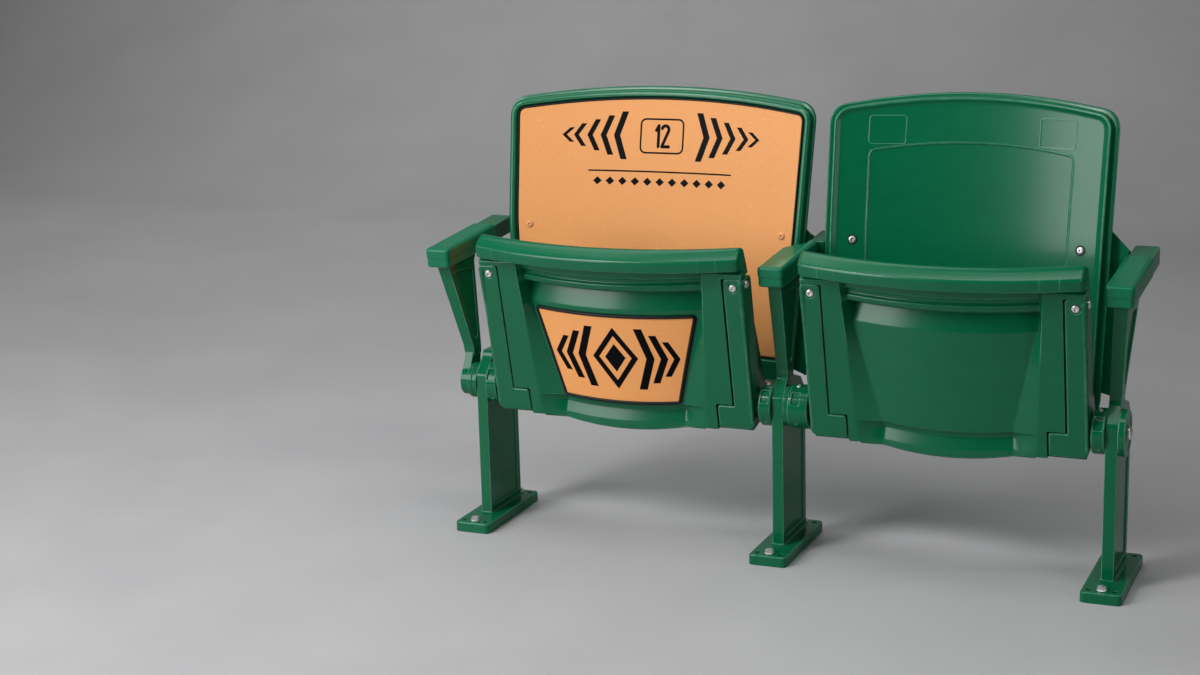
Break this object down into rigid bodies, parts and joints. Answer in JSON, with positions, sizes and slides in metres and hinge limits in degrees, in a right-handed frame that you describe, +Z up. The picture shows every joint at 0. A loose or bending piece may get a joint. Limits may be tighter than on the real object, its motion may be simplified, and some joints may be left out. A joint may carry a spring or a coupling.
{
  "type": "tip-up stadium seat",
  "caption": "Floor-mounted stadium chairs side by side: cast standards with armrests, spring-return tip-up seats, curved reclined backs, one place dressed with tan panels.",
  "frame": {"origin": "centre of the middle foot's underside, on the floor", "axes": "+X along the row to the sitter's left, which is the right-hand side seen from the front; -Y is the front, where the sitter's knees are; +Z up"},
  "size_m": [1.3505, 0.3919, 0.8456],
  "materials": {
    "cast_green": "satin powder coat",
    "moulded_green": "fine satin mould texture",
    "tan_panel": "fine woven emboss",
    "black_gasket": "matte",
    "stainless": "bright",
    "spring_steel": "oiled"
  },
  "bodies": {
    "frame": {"standard_left": "cast_green", "foot_bolt_left_front": "stainless", "foot_bolt_left_rear": "stainless", "standard_middle": "cast_green", "foot_bolt_middle_front": "stainless", "foot_bolt_middle_rear": "stainless", "standard_right": "cast_green", "foot_bolt_right_front": "stainless", "foot_bolt_right_rear": "stainless", "arm_bracket_left": "cast_green", "pivot_spacer_left": "cast_green", "pivot_bolt_left": "stainless", "pivot_cap_right": "cast_green", "pivot_bolt_right": "stainless", "armrest_left_cap": "moulded_green", "armrest_left_base": "moulded_green", "armrest_middle_cap": "moulded_green", "armrest_middle_base": "moulded_green", "armrest_right_cap": "moulded_green", "armrest_right_base": "moulded_green", "hinge_hub_left_left": "cast_green", "hinge_pin_left_left": "stainless", "hinge_hub_left_right": "cast_green", "hinge_pin_left_right": "stainless", "return_spring_left": "spring_steel", "hinge_hub_right_left": "cast_green", "hinge_pin_right_left": "stainless", "hinge_hub_right_right": "cast_green", "hinge_pin_right_right": "stainless", "return_spring_right": "spring_steel", "back_shell_left": "moulded_green", "back_screw_left_left": "tan_panel", "back_screw_left_right": "tan_panel", "back_shell_right": "moulded_green", "back_screw_right_left": "stainless", "back_screw_right_right": "stainless", "back_panel_left": "tan_panel", "back_gasket_left": "black_gasket", "back_wing_left_left": "cast_green", "back_wing_left_right": "cast_green", "back_wing_right_left": "cast_green", "back_wing_right_right": "cast_green"},
    "left_seat": {"seat_pan_left": "moulded_green", "seat_bracket_left_left": "moulded_green", "seat_screw_left_left": "stainless", "side_screw_left_left": "stainless", "seat_bracket_left_right": "moulded_green", "seat_screw_left_right": "stainless", "side_screw_left_right": "stainless", "seat_panel_left": "tan_panel", "seat_gasket_left": "black_gasket"},
    "right_seat": {"seat_pan_right": "moulded_green", "seat_bracket_right_left": "moulded_green", "seat_screw_right_left": "stainless", "side_screw_right_left": "stainless", "seat_bracket_right_right": "moulded_green", "seat_screw_right_right": "stainless", "side_screw_right_right": "stainless"}
  },
  "joints": [
    {"name": "left_seat_fold", "type": "hinge", "parent": "frame", "child": "left_seat", "pos_m": [-0.308, -0.019, 0.285], "axis": [1, 0, 0], "range_deg": [0, 72], "stiffness_Nm_per_rad": 5, "springref_deg": -68.75},
    {"name": "right_seat_fold", "type": "hinge", "parent": "frame", "child": "right_seat", "pos_m": [0.319, -0.019, 0.285], "axis": [1, 0, 0], "range_deg": [0, 72], "stiffness_Nm_per_rad": 5, "springref_deg": -68.75}
  ]
}
